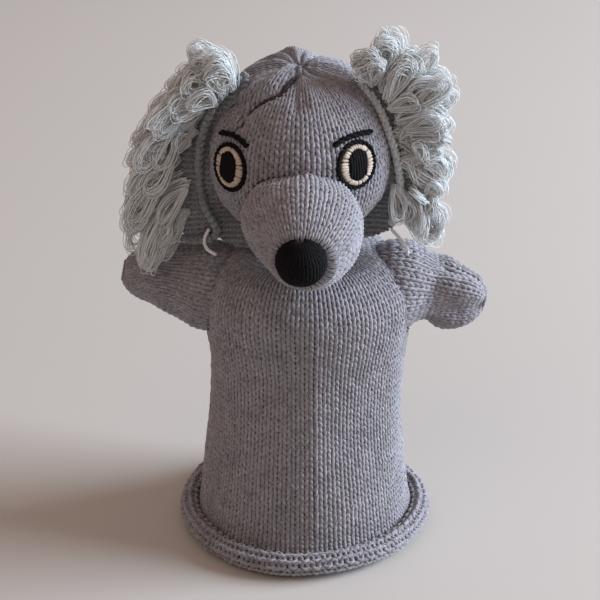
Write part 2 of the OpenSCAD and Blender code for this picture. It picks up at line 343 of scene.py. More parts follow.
def yarn_material(name, dark, light, fleck=0.5, sheen=0.35, roughness=0.85, patch=0.12, bump=0.5):
    """Spun wool: fibres twisted around the yarn, a marl of two shades and slow patches over the piece."""
    mat = bpy.data.materials.new(name)
    mat.use_nodes = True
    nodes, links = mat.node_tree.nodes, mat.node_tree.links
    shader = nodes["Principled BSDF"]
    shader.inputs["Roughness"].default_value = roughness
    shader.inputs["Sheen Weight"].default_value = sheen
    shader.inputs["Sheen Roughness"].default_value = 0.5
    shader.inputs["Specular IOR Level"].default_value = 0.2
    along = nodes.new("ShaderNodeAttribute")
    along.attribute_name = "fibre"
    strands = nodes.new("ShaderNodeTexNoise")
    strands.inputs["Scale"].default_value = 1.6
    strands.inputs["Detail"].default_value = 3
    marl = nodes.new("ShaderNodeTexNoise")
    marl.inputs["Scale"].default_value = 0.9
    marl.inputs["Detail"].default_value = 2
    place = nodes.new("ShaderNodeTexCoord")
    patches = nodes.new("ShaderNodeTexNoise")
    patches.inputs["Scale"].default_value = 90
    patches.inputs["Detail"].default_value = 2
    links.new(along.outputs["Vector"], strands.inputs["Vector"])
    links.new(along.outputs["Vector"], marl.inputs["Vector"])
    links.new(place.outputs["Object"], patches.inputs["Vector"])
    ramp = nodes.new("ShaderNodeValToRGB")
    ramp.color_ramp.elements[0].position = 0.5 - 0.22 * fleck - 0.06
    ramp.color_ramp.elements[1].position = 0.5 + 0.30 * fleck + 0.06
    ramp.color_ramp.elements[0].color = (*dark, 1)
    ramp.color_ramp.elements[1].color = (*light, 1)
    blend = nodes.new("ShaderNodeMath")
    blend.operation = "MULTIPLY_ADD"
    blend.inputs[1].default_value = 0.45
    mix = nodes.new("ShaderNodeMath")
    mix.operation = "MULTIPLY_ADD"
    mix.inputs[1].default_value = 0.55
    links.new(strands.outputs["Fac"], mix.inputs[0])
    links.new(marl.outputs["Fac"], blend.inputs[0])
    mix_in = nodes.new("ShaderNodeMath")
    mix_in.operation = "MULTIPLY"
    mix_in.inputs[1].default_value = patch
    links.new(patches.outputs["Fac"], mix_in.inputs[0])
    links.new(mix_in.outputs[0], blend.inputs[2])
    links.new(blend.outputs[0], mix.inputs[2])
    centre = nodes.new("ShaderNodeMath")
    centre.operation = "SUBTRACT"
    centre.inputs[1].default_value = patch / 2
    links.new(mix.outputs[0], centre.inputs[0])
    links.new(centre.outputs[0], ramp.inputs["Fac"])
    links.new(ramp.outputs["Color"], shader.inputs["Base Color"])
    relief = nodes.new("ShaderNodeBump")
    relief.inputs["Strength"].default_value = bump
    relief.inputs["Distance"].default_value = 0.0003
    links.new(strands.outputs["Fac"], relief.inputs["Height"])
    links.new(relief.outputs["Normal"], shader.inputs["Normal"])
    return mat


def plain_material(name, dark, light, scale, bump=0.3, roughness=0.9):
    """Soft cloth or wadding with slow colour changes and a fine grain."""
    mat = bpy.data.materials.new(name)
    mat.use_nodes = True
    nodes, links = mat.node_tree.nodes, mat.node_tree.links
    shader = nodes["Principled BSDF"]
    shader.inputs["Roughness"].default_value = roughness
    shader.inputs["Specular IOR Level"].default_value = 0.15
    place = nodes.new("ShaderNodeTexCoord")
    noise = nodes.new("ShaderNodeTexNoise")
    noise.inputs["Scale"].default_value = scale
    noise.inputs["Detail"].default_value = 5
    ramp = nodes.new("ShaderNodeValToRGB")
    ramp.color_ramp.elements[0].position, ramp.color_ramp.elements[1].position = 0.35, 0.65
    ramp.color_ramp.elements[0].color = (*dark, 1)
    ramp.color_ramp.elements[1].color = (*light, 1)
    relief = nodes.new("ShaderNodeBump")
    relief.inputs["Strength"].default_value = bump
    relief.inputs["Distance"].default_value = 0.0005
    links.new(place.outputs["Object"], noise.inputs["Vector"])
    links.new(noise.outputs["Fac"], ramp.inputs["Fac"])
    links.new(ramp.outputs["Color"], shader.inputs["Base Color"])
    links.new(noise.outputs["Fac"], relief.inputs["Height"])
    links.new(relief.outputs["Normal"], shader.inputs["Normal"])
    return mat


GREY = yarn_material("grey_marl_wool", (0.09, 0.085, 0.095), (0.42, 0.405, 0.435), fleck=0.55)
SEAM = yarn_material("seam_wool", (0.085, 0.083, 0.095), (0.26, 0.255, 0.28))
# Near-black wool used as painted shade: the fold over the crown and the crease round the muzzle's root.
DARK = yarn_material("shadowed_wool", (0.022, 0.02, 0.021), (0.06, 0.056, 0.06), sheen=0.0)
# Near-black cloth for the inner shells (linings, cushions, finger tube): painted shade, seen only through
# the gaps between stitches.
LINING = plain_material("inner_painted_shade", (0.03, 0.03, 0.034), (0.075, 0.073, 0.08), 900)
BLACK = yarn_material("black_wool", (0.001, 0.001, 0.0015), (0.005, 0.005, 0.006),
                      sheen=0.0, roughness=0.95)
CREAM = yarn_material("cream_thread", (0.36, 0.29, 0.225), (0.60, 0.51, 0.42), fleck=0.3, sheen=0.1)
# The ears' own blue-grey yarn, made darker as painted shade: the flaps sit in shade under the fringe.
EAR = yarn_material("ear_wool_painted_shade", (0.10, 0.11, 0.118), (0.27, 0.285, 0.295), fleck=0.5)
# Paler copy of the ear wool: painted light, used only on the lit right ear's edging.
LIT_EDGE = yarn_material("ear_edge_wool_painted_light", (0.30, 0.325, 0.33), (0.58, 0.61, 0.61), fleck=0.5)
FRINGE = yarn_material("ear_fringe_yarn", (0.60, 0.64, 0.64), (0.88, 0.91, 0.90),
                       fleck=0.3, sheen=0.25, patch=0.05, bump=0.1)
TAIL = yarn_material("tail_yarn", (0.62, 0.62, 0.60), (0.85, 0.85, 0.83), fleck=0.25)


def piece(name, part, material, slot, *nodes, body=None):
    obj = make(name, *part, material)
    if body:
        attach(obj, body)
    if nodes:
        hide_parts(*nodes)
    return obj


# ---- sleeve and rolled hem: one tube of knitting ----

HEM_R, HEM_Z, HEM_MEAN = 51.2, 5.2, 3.9
SLEEVE_PROFILE = [(18.2, 133.4), (22.5, 132.8), (28.0, 132.0), (33.5, 130.6), (38.0, 127.6), (41.3, 122.8),
                  (43.2, 117.5), (43.7, 112.0), (43.0, 106.0), (41.4, 97.0), (40.0, 86.0),
                  (40.1, 71.0), (40.9, 55.0),
                  (42.4, 40.0), (44.1, 24.0), (45.3, 12.0), (46.4, 7.0)]
roll_turn = np.radians(np.linspace(205, 530, 22))
roll_size = HEM_MEAN * (1 - 0.34 * ease(np.degrees(roll_turn), 420, 560))
ROLL = np.stack([HEM_R + roll_size * np.cos(roll_turn), HEM_Z + roll_size * np.sin(roll_turn)], axis=-1)
sleeve_line = curve(np.concatenate([SLEEVE_PROFILE, ROLL]), 900)[::-1]
sleeve_s = np.concatenate([[0], np.cumsum(np.linalg.norm(np.diff(sleeve_line, axis=0), axis=1))])
SLEEVE_WALES = 70
SLEEVE_COURSES = int(sleeve_s[-1] / COURSE) - 1
RIDGE_LON = math.radians(6)


def sleeve_surface(u, v, inset=0.0):
    s = (v + 1) * COURSE
    r = np.interp(s, sleeve_s, sleeve_line[:, 0]) - inset
    z = np.interp(s, sleeve_s, sleeve_line[:, 1])
    lon = TAU * (u / SLEEVE_WALES - 0.5)
    body = ease(z, 9, 30) * (1 - ease(z, 100, 126))
    away = (lon - RIDGE_LON + math.pi) % TAU - math.pi
    r = r + body * (1.0 * np.exp(-np.abs(away) / 0.16) - 0.5 * np.exp(-((np.abs(away) - 0.55) / 0.3) ** 2))
    r = r + body * (0.45 * np.sin(3 * lon + z / 19.0) + 0.3 * np.sin(5 * lon - z / 11.0 + 1.3))
    chest = ease(z, 55, 98) * (1 - ease(z, 116, 130))
    r = r + 2.6 * chest * np.exp(-(((lon - math.radians(80)) / 0.7) ** 2))
    wave = 1 - ease(z, 6, 16)
    z = z + wave * (0.5 * np.sin(2 * lon + 0.6) + 0.3 * np.sin(5 * lon)) + 1.3 * wave
    r = r + wave * 0.5 * np.sin(3 * lon + 2.0)
    return np.stack([r * np.sin(lon), -r * np.cos(lon), z], axis=-1)


def shoulder(s):
    return np.array([SIDES[s] * SHOULDER_X, 0.0, SHOULDER_Z])


ARMHOLE_R = SHOULDER_R + 0.2


def clear_of_armholes(points):
    return np.all([np.linalg.norm(points - shoulder(s), axis=-1) > ARMHOLE_R for s in SIDES], axis=0)


def sleeve_rows(first, count, seed):
    part = knit(sleeve_surface, SLEEVE_WALES, count, first=first, seed=seed)
    return cut(part, clear_of_armholes)


HEM_ROWS, LOW_ROWS, MID_ROWS = 15, 18, 18
piece("hem_roll_knit", sleeve_rows(0, HEM_ROWS, 11), GREY, "grey_marl", "rolled_hem", body="puppet_body")
piece("sleeve_knit_low", sleeve_rows(HEM_ROWS, LOW_ROWS, 12), GREY, "grey_marl", "sleeve",
      body="puppet_body")
piece("sleeve_knit_middle", sleeve_rows(HEM_ROWS + LOW_ROWS, MID_ROWS, 13), GREY, "grey_marl",
      body="puppet_body")
top_from = HEM_ROWS + LOW_ROWS + MID_ROWS
piece("sleeve_knit_shoulders", sleeve_rows(top_from, SLEEVE_COURSES - top_from, 14), GREY, "grey_marl",
      body="puppet_body")

LINING_IN = 1.5
lining_rows = np.linspace(10.5, SLEEVE_COURSES - 10.5, 60)
lining_part = shell(lambda u, v: sleeve_surface(u, v, LINING_IN), np.arange(0, SLEEVE_WALES, 0.5),
                    lining_rows, 0.7)
lining = piece("sleeve_lining", cut(lining_part, clear_of_armholes), LINING, "grey_marl",
               body="puppet_body")


# ---- neck ----


def circle(radius, z, count):
    a = TAU * np.arange(count) / count
    line = np.stack([radius * np.sin(a), -radius * np.cos(a), z + 0 * a], axis=-1)
    return line, np.stack([np.sin(a), -np.cos(a), 0 * a], axis=-1)


piece("neck_drawstring_yarn", rope(*circle(18.3, 133.9, 160), 0.85, 0.7, 6.0, closed=True, seed=21),
      SEAM, "seam_yarn",
      "neck_drawstring", body="neck_drawstring")
piece("neck_seam_yarn", rope(*circle(15.7, 134.2, 160), 0.8, 0.65, 5.0, closed=True, seed=22),
      SEAM, "seam_yarn",
      "head_neck_seam", body="neck_seam")

# ---- head ----

HEAD_WALES = 56
HEAD_MEAN = HEAD_R - SKIN - 0.6  # before it is stuffed
HEAD_LOW = -65.0
HEAD_COURSES = 36
LAT_STEP = math.degrees(COURSE / HEAD_MEAN)
CREASES = [  # line, depth and half width; a ridge has a negative depth
    ([(-7, 80), (-25.3, 57.3), (-38.4, 50.9), (-46.3, 44.2), (-49.5, 35.9), (-47.5, 30.3)], 4.4, 1.9),
    ([(-30, 82), (-46, 64), (-54, 57), (-62, 47)], -2.0, 3.6),
    ([(0, 82), (8, 66), (13.8, 48.6)], -1.2, 2.0),
    ([(-6, 78), (-3.6, 60), (-2.6, 45.7)], 1.3, 1.6),
    ([(20, 80), (30, 66), (34, 52)], 0.8, 1.8),
    ([(48, 80), (56, 64), (60, 50)], 0.8, 2.0),
]
CREASE_LINES = [(aim(*np.transpose(line)), depth, wide) for line, depth, wide in CREASES]


def head_shape(lon, lat, proud=0.0):
    """A point of the head's fabric before it is stuffed. Below the ball it runs on down the neck."""
    lat = np.asarray(lat, float)
    lon = np.asarray(lon, float) + 0 * lat
    d = aim(lon, np.clip(lat, HEAD_LOW, 89))
    r = np.full(lat.shape, HEAD_MEAN)
    up = ease(lat, 48, 80)
    pleats = np.cos(np.radians(lon) * 11 + 0.9) + 0.5 * np.cos(np.radians(lon) * 7 - 0.4)
    r = r + 0.75 * up * (1 - ease(lat, 84, 89)) * pleats
    behind = np.exp(-(((np.abs(lon) - 180) / 85) ** 4))
    notch = (lon - 147 + 180) % 360 - 180
    puffs = 1 + 0.2 * np.cos(np.radians(lon) * 5 + 2.6) - 0.5 * np.exp(-((notch / 18) ** 2))
    r = r + 3.7 * behind * puffs * ease(lat, 28, 62) * (1 - ease(lat, 74, 88))
    r = r - 2.4 * ease(lat, 80, 89)
    for line, depth, wide in CREASE_LINES:
        gap = line_gap(d, line) * HEAD_MEAN
        r = r - depth * np.exp(-((gap / wide) ** 2))
    r = r + 0.5 * np.sin(np.radians(lon) * 3 + 1) * np.sin(np.radians(lat) * 4)
    p = HEAD + d * (r + proud)[..., None]
    below = np.minimum(lat - HEAD_LOW, 0)
    neck = ease(-below, 0, 8)
    p[..., 2] += below * COURSE / LAT_STEP
    p[..., 0] += neck * -HEAD[0]
    return p


head_shift = settled(head_shape, np.arange(-180, 180, 5.0), np.linspace(HEAD_LOW, 84, 36), 0.05, 3.0, 2.0)


def head_surface(lon, lat, proud=0.0):
    return head_shape(lon, lat, proud) + head_shift(lon, lat) * ease(lat, HEAD_LOW, HEAD_LOW + 8)[..., None]


def head_uv(u, v):
    return head_surface(360 * (u / HEAD_WALES - 0.5), HEAD_LOW + (v - NECK_ROWS) * LAT_STEP)


NECK_ROWS = 3
FACE_ROWS = 19


def muzzle_frame():
    along = np.array([0.0, -math.cos(MUZZLE_DROOP), -math.sin(MUZZLE_DROOP)])
    up = np.array([0.0, -math.sin(MUZZLE_DROOP), math.cos(MUZZLE_DROOP)])
    return along, up, np.array([1.0, 0.0, 0.0])


M_ALONG, M_UP, M_RIGHT = muzzle_frame()


def clear_of_muzzle(points):
    """True away from the part of the head that the muzzle covers."""
    q = points - MUZZLE
    along = q @ M_ALONG
    out = np.linalg.norm(q - along[..., None] * M_ALONG, axis=-1)
    return (along < 0) & (points[..., 1] > -10) | (out > MUZZLE_R - 6) | (points[..., 1] > 0)


neck_part = knit(head_uv, HEAD_WALES, NECK_ROWS + 1, first=-1, seed=31)
neck_cover = piece("neck_knit", neck_part, GREY, "grey_marl")
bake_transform(neck_cover)
face = knit(head_uv, HEAD_WALES, FACE_ROWS, first=NECK_ROWS, seed=32)
piece("head_knit_face", cut(face, clear_of_muzzle), GREY, "grey_marl", "head_skin", body="head")
crown = knit(head_uv, HEAD_WALES, HEAD_COURSES - FACE_ROWS, first=NECK_ROWS + FACE_ROWS, seed=33)
piece("head_knit_crown", crown, GREY, "grey_marl", body="head")

stuffed = shell(lambda u, v: head_surface(u, v, -1.4), np.arange(0, 360, 5.0),
                np.linspace(-64, 88.5, 40), 2.5)
stuffed_head = piece("head_cushion", stuffed, LINING, "stuffing", "head_stuffing", body="head")
FINGER_R, FINGER_TOP = 11.8, 179.0


def finger_surface(u, v):
    """The tube the finger goes into: open at the neck, round at its top."""
    dome = np.maximum(v - (FINGER_TOP - FINGER_R), 0) / FINGER_R
    r = FINGER_R * np.sqrt(1 - np.minimum(dome, 0.999) ** 2)
    lon = TAU * u / FINGER_WALES
    return np.stack([r * np.sin(lon), -r * np.cos(lon), v], axis=-1)


FINGER_WALES = 24
finger = shell(finger_surface, np.arange(0, FINGER_WALES, 0.5), np.linspace(131, FINGER_TOP - 0.1, 40), 0.9)
piece("finger_tube_lining", finger, LINING, "seam_yarn", "finger_tube", body="head")

# A near-black rope laid in the fold over the crown: painted shadow of the fold.
fold_line = curve([(-9, 78), *[(-25.3, 57.3), (-38.4, 50.9), (-46.3, 44.2), (-49.5, 35.9)]], 70)
fold_line = head_surface(fold_line[:, 0], fold_line[:, 1], 3.7)
piece("crown_fold_painted_shadow", rope(fold_line, unit(fold_line - HEAD), 0.5, 0.3, 5.0, seed=35),
      DARK, "seam_yarn",
      body="head")

gather_lon = np.linspace(0, 360, 48, endpoint=False)
gather_line = head_surface(gather_lon, 85.0 + 1.5 * np.sin(np.radians(gather_lon * 5)), 0.6)
gather_out = aim(gather_lon, 80 + 0 * gather_lon)
piece("crown_gather_yarn", rope(gather_line, gather_out, 0.6, 0.5, 3.0, closed=True, seed=34),
      SEAM, "seam_yarn", "crown_gather", body="head")

# ---- muzzle ----

MUZZLE_WALES = 38


def egg_radius(t, inset=SKIN):
    along = (t - MUZZLE_MID) / (MUZZLE_HALF - inset)
    return (MUZZLE_R - inset) * np.sqrt(np.clip(1 - along**2, 0.001, 1))


def egg_shape(turn, t, inset=SKIN):
    """A point of the unstuffed muzzle. turn goes round from its top towards the viewer's right."""
    turn, t = np.broadcast_arrays(np.asarray(turn, float), np.asarray(t, float))
    r = egg_radius(t, inset)
    left_below = np.maximum(0, np.cos(turn - math.radians(246)))
    right_cheek = np.maximum(0, np.cos(turn - math.radians(110)))
    r = r * (1 - 0.2 * left_below**1.5 * ease(t, 4, 30)) + 0.9 * right_cheek * ease(t, 0, 14)
    r = r - 2.2 * np.maximum(0, np.cos(turn)) ** 2 * (1 - ease(t, 8, 20))
    out = np.sin(turn)[..., None] * M_RIGHT + np.cos(turn)[..., None] * M_UP
    return MUZZLE + t[..., None] * M_ALONG + r[..., None] * out


muzzle_shift = settled(lambda u, v: egg_shape(-u, v, SKIN + 0.6), np.radians(np.arange(0, 360, 9.0)),
                       np.linspace(-8, 38.5, 22), 0.04, 3.0, 1.4)


def egg_point(turn, t, inset=SKIN):
    return egg_shape(turn, t, inset + 0.6) + muzzle_shift(-turn, t)


root_turn = TAU * np.arange(180) / 180
low, high = np.full(180, -8.0), np.full(180, 30.0)
for _ in range(30):
    middle = (low + high) / 2
    inside = np.linalg.norm(egg_point(root_turn, middle) - HEAD, axis=-1) < HEAD_R - 0.6
    low, high = np.where(inside, middle, low), np.where(inside, high, middle)
ROOT_T = low


def root_at(turn):
    return np.interp(turn % TAU, np.append(root_turn, TAU), np.append(ROOT_T, ROOT_T[0]))


TIP_T = 38.6
MUZZLE_COURSES = 15


def muzzle_surface(u, v):
    turn = -TAU * u / MUZZLE_WALES
    begin = root_at(turn)
    return egg_point(turn, begin + (TIP_T - begin) * np.minimum(v / MUZZLE_COURSES, 1.0))


muzzle_rows = knit(muzzle_surface, MUZZLE_WALES, MUZZLE_COURSES, seed=41, wale=3.5)
piece("muzzle_knit", muzzle_rows, GREY, "grey_marl", "muzzle_skin", body="head")
filling = shell(lambda u, v: egg_point(-u, v, SKIN + 1.4), np.radians(np.arange(0, 360, 6.0)),
                np.linspace(2, 39, 24), 2.0)
muzzle_pad = piece("muzzle_cushion", filling, LINING, "stuffing", "muzzle_stuffing", body="head")

# The seam round the muzzle's root is in near-black wool: painted shade in the crease where the muzzle meets
# the head.
seam_turn = TAU * np.arange(200) / 200
seam_line = egg_point(seam_turn, root_at(seam_turn) + 0.3, SKIN - 1.7)
piece("muzzle_seam_yarn", rope(seam_line, unit(seam_line - HEAD), 0.36, 0.22, 3.4, closed=True, seed=43),
      DARK,
      "seam_yarn", "muzzle_seam", body="head")

# ---- nose ----

NOSE = MUZZLE + NOSE_AT * M_ALONG + 0.8 * M_UP + 0.5 * M_RIGHT
NOSE_WALES, NOSE_COURSES = 20, 9


def nose_surface(u, v):
    turn = TAU * u / NOSE_WALES
    lat = np.radians(-78 + 156 * v / NOSE_COURSES)
    out = np.sin(turn)[..., None] * M_RIGHT + np.cos(turn)[..., None] * M_ALONG
    r = NOSE_R - 0.9
    return NOSE + r * (np.cos(lat)[..., None] * out + (1.1 * np.sin(lat) + 0.1)[..., None] * M_UP)


nose_part = knit(nose_surface, NOSE_WALES, NOSE_COURSES, seed=44, wale=3.0, yarn=0.85, depth=0.35)
nose_core = shell(lambda u, v: NOSE
                  + (NOSE_R - 1.8) * (np.cos(v)[..., None] * (np.sin(u)[..., None] * M_RIGHT
                  + np.cos(u)[..., None] * M_ALONG) + np.sin(v)[..., None] * M_UP),
                  np.radians(np.arange(0, 360, 12.0)), np.radians(np.linspace(-86, 86, 16)), 1.2)
piece("nose_knit", joined([nose_part, nose_core]), BLACK, "black_wool", "nose", body="head")

# ---- eyes and brows: embroidery on the head ----


def on_eye(side, x, y, proud):
    """A point of the embroidery, from millimetres across and up the eye."""
    lon0, lat0 = EYES[side]
    d0 = aim(np.float64(lon0), np.float64(lat0))
    right = aim(np.float64(lon0 + 90), np.float64(0))
    up = np.cross(right, d0)
    x, y = np.asarray(x, float), np.asarray(y, float)
    d = unit(d0 + (x[..., None] * right + y[..., None] * up) / HEAD_R)
    lon = np.degrees(np.arctan2(d[..., 0], -d[..., 1]))
    return head_surface(lon, np.degrees(np.arcsin(d[..., 2])), 1.1 + proud)


def ring_of(side, half_x, half_y, count, proud):
    a = TAU * np.arange(count) / count
    line = on_eye(side, half_x * np.sin(a), half_y * np.cos(a), proud)
    return line, unit(line - HEAD)


WHITE_STITCHES = 38
for s in SIDES:
    rng = np.random.default_rng(50 + SIDES[s])
    rings = [rope(*ring_of(s, 9.3, 9.4, 120, 0.5), 0.62, 0.42, 4.5, closed=True, seed=51),
             rope(*ring_of(s, 8.6, 8.7, 120, 0.1), 0.5, 0.3, 4.0, closed=True, seed=52)]
    piece(s + "_eye_outline_rope", joined(rings), BLACK, "black_thread", s + "_eye_outline", body="head")
    stitches = []
    for k in range(WHITE_STITCHES):
        a = TAU * (k + 0.3 * rng.uniform(-1, 1)) / WHITE_STITCHES
        b = a + 0.05 * rng.uniform(-1, 1)
        f = np.linspace(0, 1, 9)
        x = (1 - f) * 8.3 * math.sin(a) + f * 4.5 * math.sin(b)
        y = (1 - f) * 8.2 * math.cos(a) + f * 6.6 * math.cos(b)
        line = on_eye(s, x, y, 0.35 + 0.35 * np.sin(np.pi * f) ** 0.6)
        thickness = 0.7 + 0.05 * rng.standard_normal()
        stitches.append(sweep(line, unit(line - HEAD), thickness, 6, False, seed=k))
    piece(s + "_eye_white_stitches", joined(stitches), CREAM, "cream_thread", s + "_eye_white", body="head")
    strands = []
    for x in np.linspace(-3.6, 3.6, 7):
        tall = 6.6 * max(0.05, 1 - (abs(x) / 5.0) ** 4) ** 0.5
        f = np.linspace(-1, 1, 11)
        line = on_eye(s, x + 0.2 * np.sin(4 * f + x), tall * f, 0.5 + 0.6 * np.cos(f * 1.3))
        strands.append(sweep(line, unit(line - HEAD), 0.8, 6, False, seed=int(10 * x) + 60))
    piece(s + "_eye_pupil_stitches", joined(strands), BLACK, "black_thread", s + "_eye_pupil", body="head")

BROWS = {"left": [(-64.0, 21.4), (-52.8, 23.6), (-42.6, 22.9), (-34.8, 19.8)],
         "right": [(20.8, 22.4), (31.0, 25.6), (42.5, 26.2), (54.5, 24.6)]}
for s in SIDES:
    line = curve(BROWS[s], 50)
    line = head_surface(line[:, 0], line[:, 1], 1.9)
    twisted = rope(line, unit(line - HEAD), 0.8, 0.55, 7.0, seed=55)
    piece(s + "_eyebrow_stitches", twisted, BLACK, "black_thread", s + "_eyebrow", body="head")

# ---- arms ----

ARM_WALES = 30
ARM_TABLE = [  # along the arm, half height, half depth
    (-13.0, 14.4, 14.4), (-6.6, 18.2, 18.2), (0, 19.4, 19.4), (5, 18.5, 17.9), (13, 16.0, 14.2),
    (22, 14.0, 12.2),
    (28.0, 12.6, 10.8), (32.0, 10.8, 9.0), (35.0, 8.0, 6.4), (36.7, 5.0, 4.0), (37.4, 1.4, 1.4)]
arm_curve = curve(ARM_TABLE, 300)
arm_s = np.concatenate([[0], np.cumsum(np.hypot(np.diff(arm_curve[:, 0]), np.diff(arm_curve[:, 1])))])
ARM_COURSES = int(arm_s[-1] / COURSE)


def arm_point(s, turn, at, inset):
    """turn goes round the arm from its top towards the viewer, and at runs to its tip in courses."""
    length = at * COURSE
    along, high, deep = (np.interp(length, arm_s, arm_curve[:, k]) for k in range(3))
    side, rise = SIDES[s], ARM_RISE[s]
    # Inside the sleeve the ball goes on further at its top and back, so no gap opens when the arm moves.
    reach_in = 6.0 * (0.5 + 0.5 * np.cos(turn - math.radians(315)))
    along = along - reach_in * (1 - ease(length, 0, 11))
    ball = np.sqrt(np.maximum(SHOULDER_R**2 - along**2, 1.0))
    high, deep = np.where(along < 0, ball, high), np.where(along < 0, ball, deep)
    high, deep = np.maximum(high - inset, 0.3), np.maximum(deep - inset, 0.3)
    mitt = ease(along, 6, 20)
    lumps = mitt * (0.7 * np.sin(3 * turn + along / 6.0 + side) + 0.5 * np.sin(2 * turn - along / 4.0))
    high, deep = high + lumps * (high > 3), deep + lumps * (deep > 3)
    if s == "right":
        full = ease(high, 2, 9)

        def bump(middle, wide):
            off = (turn - math.radians(middle) + math.pi) % TAU - math.pi
            return np.exp(-((off / math.radians(wide)) ** 2))

        hollow = -3.4 * bump(112, 42) * ease(along, 2, 14) + 2.2 * bump(48, 17) * ease(along, 8, 18)
        hollow = hollow - 3.6 * bump(20, 13) * ease(along, 13, 19)
        hollow = hollow + 1.6 * bump(-12, 26) * ease(along, 13, 20)
        hollow = hollow + 2.4 * bump(170, 35) * ease(along, 16, 26)
        hollow = hollow - 2.0 * bump(180, 45) * ease(along, 4, 10) * (1 - ease(along, 14, 20))
        high, deep = high + hollow * full, deep + hollow * full
    x, y, z = along, -deep * np.sin(turn), high * np.cos(turn)
    reach = side * (x * math.cos(rise) - z * math.sin(rise))
    return shoulder(s) + np.stack([reach, y, x * math.sin(rise) + z * math.cos(rise)], axis=-1)


for s in SIDES:
    def arm_surface(u, v, s=s):
        return arm_point(s, SIDES[s] * TAU * u / ARM_WALES, v, SKIN - 0.2)

    part = knit(arm_surface, ARM_WALES, ARM_COURSES, seed=61 + SIDES[s], wale=3.6, yarn=0.9)
    piece(s + "_arm_knit", part, GREY, "grey_marl", s + "_arm", body=s + "_arm")
    lining_part = shell(lambda u, v, s=s: arm_point(s, SIDES[s] * u, v, SKIN + 1.3),
                        TAU * np.arange(0, 40) / 40,
                        np.linspace(0.2, ARM_COURSES - 1.2, 24), 0.7)
    lining = piece(s + "_arm_lining", lining_part, LINING, "grey_marl", body=s + "_arm")
    tip = arm_point(s, TAU * np.arange(40) / 40, np.full(40, arm_s[-1] / COURSE - 1.0), 0.3)
    out = unit(tip - tip.mean(axis=0) + np.array([SIDES[s], 0, 0]))
    piece(s + "_arm_tip_yarn", rope(tip, out, 0.55, 0.4, 3.0, closed=True, seed=63), SEAM, "seam_yarn",
          s + "_arm_tip_gather", body=s + "_arm")

    # The sewing round the armhole, where the sleeve's surface meets the shoulder ball.
    a = TAU * np.arange(120) / 120
    centre_u = SLEEVE_WALES * (0.5 + SIDES[s] * 0.25)
    z_of_v = np.interp(np.arange(0, SLEEVE_COURSES, 0.05) * COURSE + COURSE, sleeve_s, sleeve_line[:, 1])
    v_grid = np.arange(0, SLEEVE_COURSES, 0.05)
    above_roll = v_grid > 12
    centre_v = v_grid[above_roll][np.argmin(np.abs(z_of_v[above_roll] - SHOULDER_Z))]
    near, far = np.zeros(120), np.full(120, 30.0)
    for _ in range(26):
        middle = (near + far) / 2
        p = sleeve_surface(centre_u + middle * np.cos(a) / WALE, centre_v + middle * np.sin(a) / COURSE)
        short = np.linalg.norm(p - shoulder(s), axis=-1) < ARMHOLE_R + 0.2
        near, far = np.where(short, middle, near), np.where(short, far, middle)
    normal = unit(p - np.array([0, 0, SHOULDER_Z - 15]))
    piece(s + "_armhole_sewing", rope(p - 0.2 * normal, normal, 0.7, 0.4, 4.0, closed=True, seed=64),
          SEAM, "seam_yarn",
          body="puppet_body")
    x = SHOULDER_X - 4.4
    ring_r = math.sqrt((SHOULDER_R - 0.6) ** 2 - 4.4**2)
    ring = np.stack([np.full(120, SIDES[s] * x), ring_r * np.cos(a),
                     SHOULDER_Z + ring_r * np.sin(a)], axis=-1)
    piece(s + "_arm_seam_yarn", rope(ring, unit(ring - shoulder(s)), 0.5, 0.35, 4.0, closed=True, seed=65),
          SEAM,
          "seam_yarn", s + "_arm_seam", body=s + "_arm_seam")

# ---- ears ----


def ear_xyz(s, x, y, z):
    """From the ear's own plane to the frame: x away from the head, y towards the back, z up."""
    x, y, z = np.broadcast_arrays(np.asarray(x, float), np.asarray(y, float), np.asarray(z, float))
    return np.stack([HEAD[0] + SIDES[s] * x, EAR_Y + y, HEAD[2] + z], axis=-1)


def inside_flap(s, points):
    x = (points[..., 0] - HEAD[0]) * SIDES[s]
    z = points[..., 2] - HEAD[2]
    oval = ((x - EAR_MID[0]) / EAR_W[s]) ** 2 + ((z - EAR_MID[1]) / EAR_HALF_H) ** 2 < 1
    clear = np.hypot(x, z) > HEAD_R - 2.6
    # Low down the flap reaches in under the head: its dark knit stands there as painted shade below the
    # jaw.
    lowest = -41.0 + 5.0 * ease(x, 26, 38) if s == "left" else -37 + 0.03 * (x - 26) ** 2
    return oval & clear & (z > lowest) & (x > 20)


EAR_WALE, EAR_COURSE = 3.1, 2.3
LOOPS = 8
SKEINS, STRANDS = 13, 20
EAR_WALES, EAR_COURSES = 15, 33
FRINGE_FROM = {"left": [(29, 29), (34.5, 26.6), (38.6, 22), (41, 16),
                        (45, 5), (47.5, -6), (49, -17), (47, -28)],
               "right": [(27, 34), (31, 30.5), (33, 27), (36, 22),
                         (38, 13), (39, 3), (39.5, -8), (38.5, -19)]}
TIPS = {"left": [(-41.5, 232), (-51.5, 220), (-60, 204.5), (-66, 187),
                 (-71, 175), (-74, 161.5), (-74, 148), (-67, 134)],
        "right": [(25, 229), (35, 235), (47.5, 229), (56.5, 217),
                  (61, 200.6), (60.5, 184), (60.5, 167), (55, 144)]}

